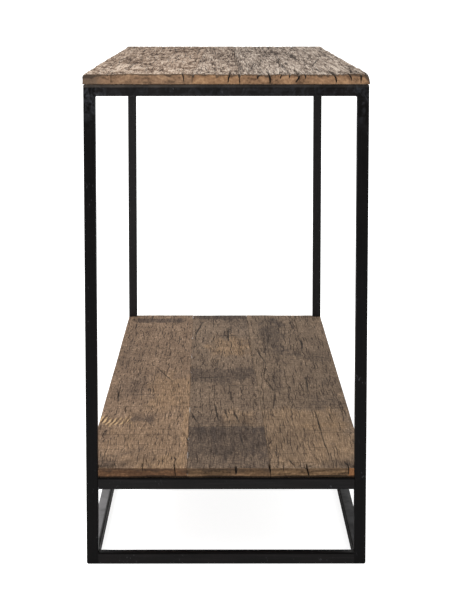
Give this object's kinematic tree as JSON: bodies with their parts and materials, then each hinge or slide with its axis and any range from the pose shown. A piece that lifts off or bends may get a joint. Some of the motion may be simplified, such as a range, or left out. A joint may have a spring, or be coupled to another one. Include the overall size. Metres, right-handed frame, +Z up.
{
  "type": "console table",
  "caption": "Narrow console table: old weathered planks for the top and a low shelf, carried by a slim welded frame of black square steel tube.",
  "frame": {"origin": "on the floor, under the middle of the table", "axes": "+X along the table towards the right end, +Y across it from the front to the back, +Z up"},
  "size_m": [1.402, 0.457, 0.8],
  "materials": {
    "black_paint": "black semi-gloss paint, scuffed",
    "weathered_top_wood": "old weathered wood, rough, with drying cracks",
    "sawn_shelf_wood": "old sawn wood, brown, matt",
    "zinc_screw": "zinc plated"
  },
  "bodies": {
    "root": {"leg_left_front": "black_paint", "leg_left_back": "black_paint", "top_end_rail_left": "black_paint", "shelf_end_rail_left": "black_paint", "floor_end_rail_left": "black_paint", "leg_right_front": "black_paint", "leg_right_back": "black_paint", "top_end_rail_right": "black_paint", "shelf_end_rail_right": "black_paint", "floor_end_rail_right": "black_paint", "top_side_rail_front": "black_paint", "top_side_rail_back": "black_paint", "top_weld_beads": "black_paint", "shelf_side_rail_front": "black_paint", "shelf_side_rail_back": "black_paint", "shelf_weld_beads": "black_paint", "floor_side_rail_front": "black_paint", "floor_side_rail_back": "black_paint", "floor_weld_beads": "black_paint", "top_plank_front": "weathered_top_wood", "top_plank_middle": "weathered_top_wood", "top_plank_back": "weathered_top_wood", "top_cross_bar_1": "black_paint", "top_cross_bar_2": "black_paint", "top_cross_bar_3": "black_paint", "top_screws": "zinc_screw", "shelf_plank_front": "sawn_shelf_wood", "shelf_plank_middle": "sawn_shelf_wood", "shelf_plank_back": "sawn_shelf_wood", "shelf_cross_bar_1": "black_paint", "shelf_cross_bar_2": "black_paint", "shelf_cross_bar_3": "black_paint", "shelf_screws": "zinc_screw"}
  },
  "joints": []
}
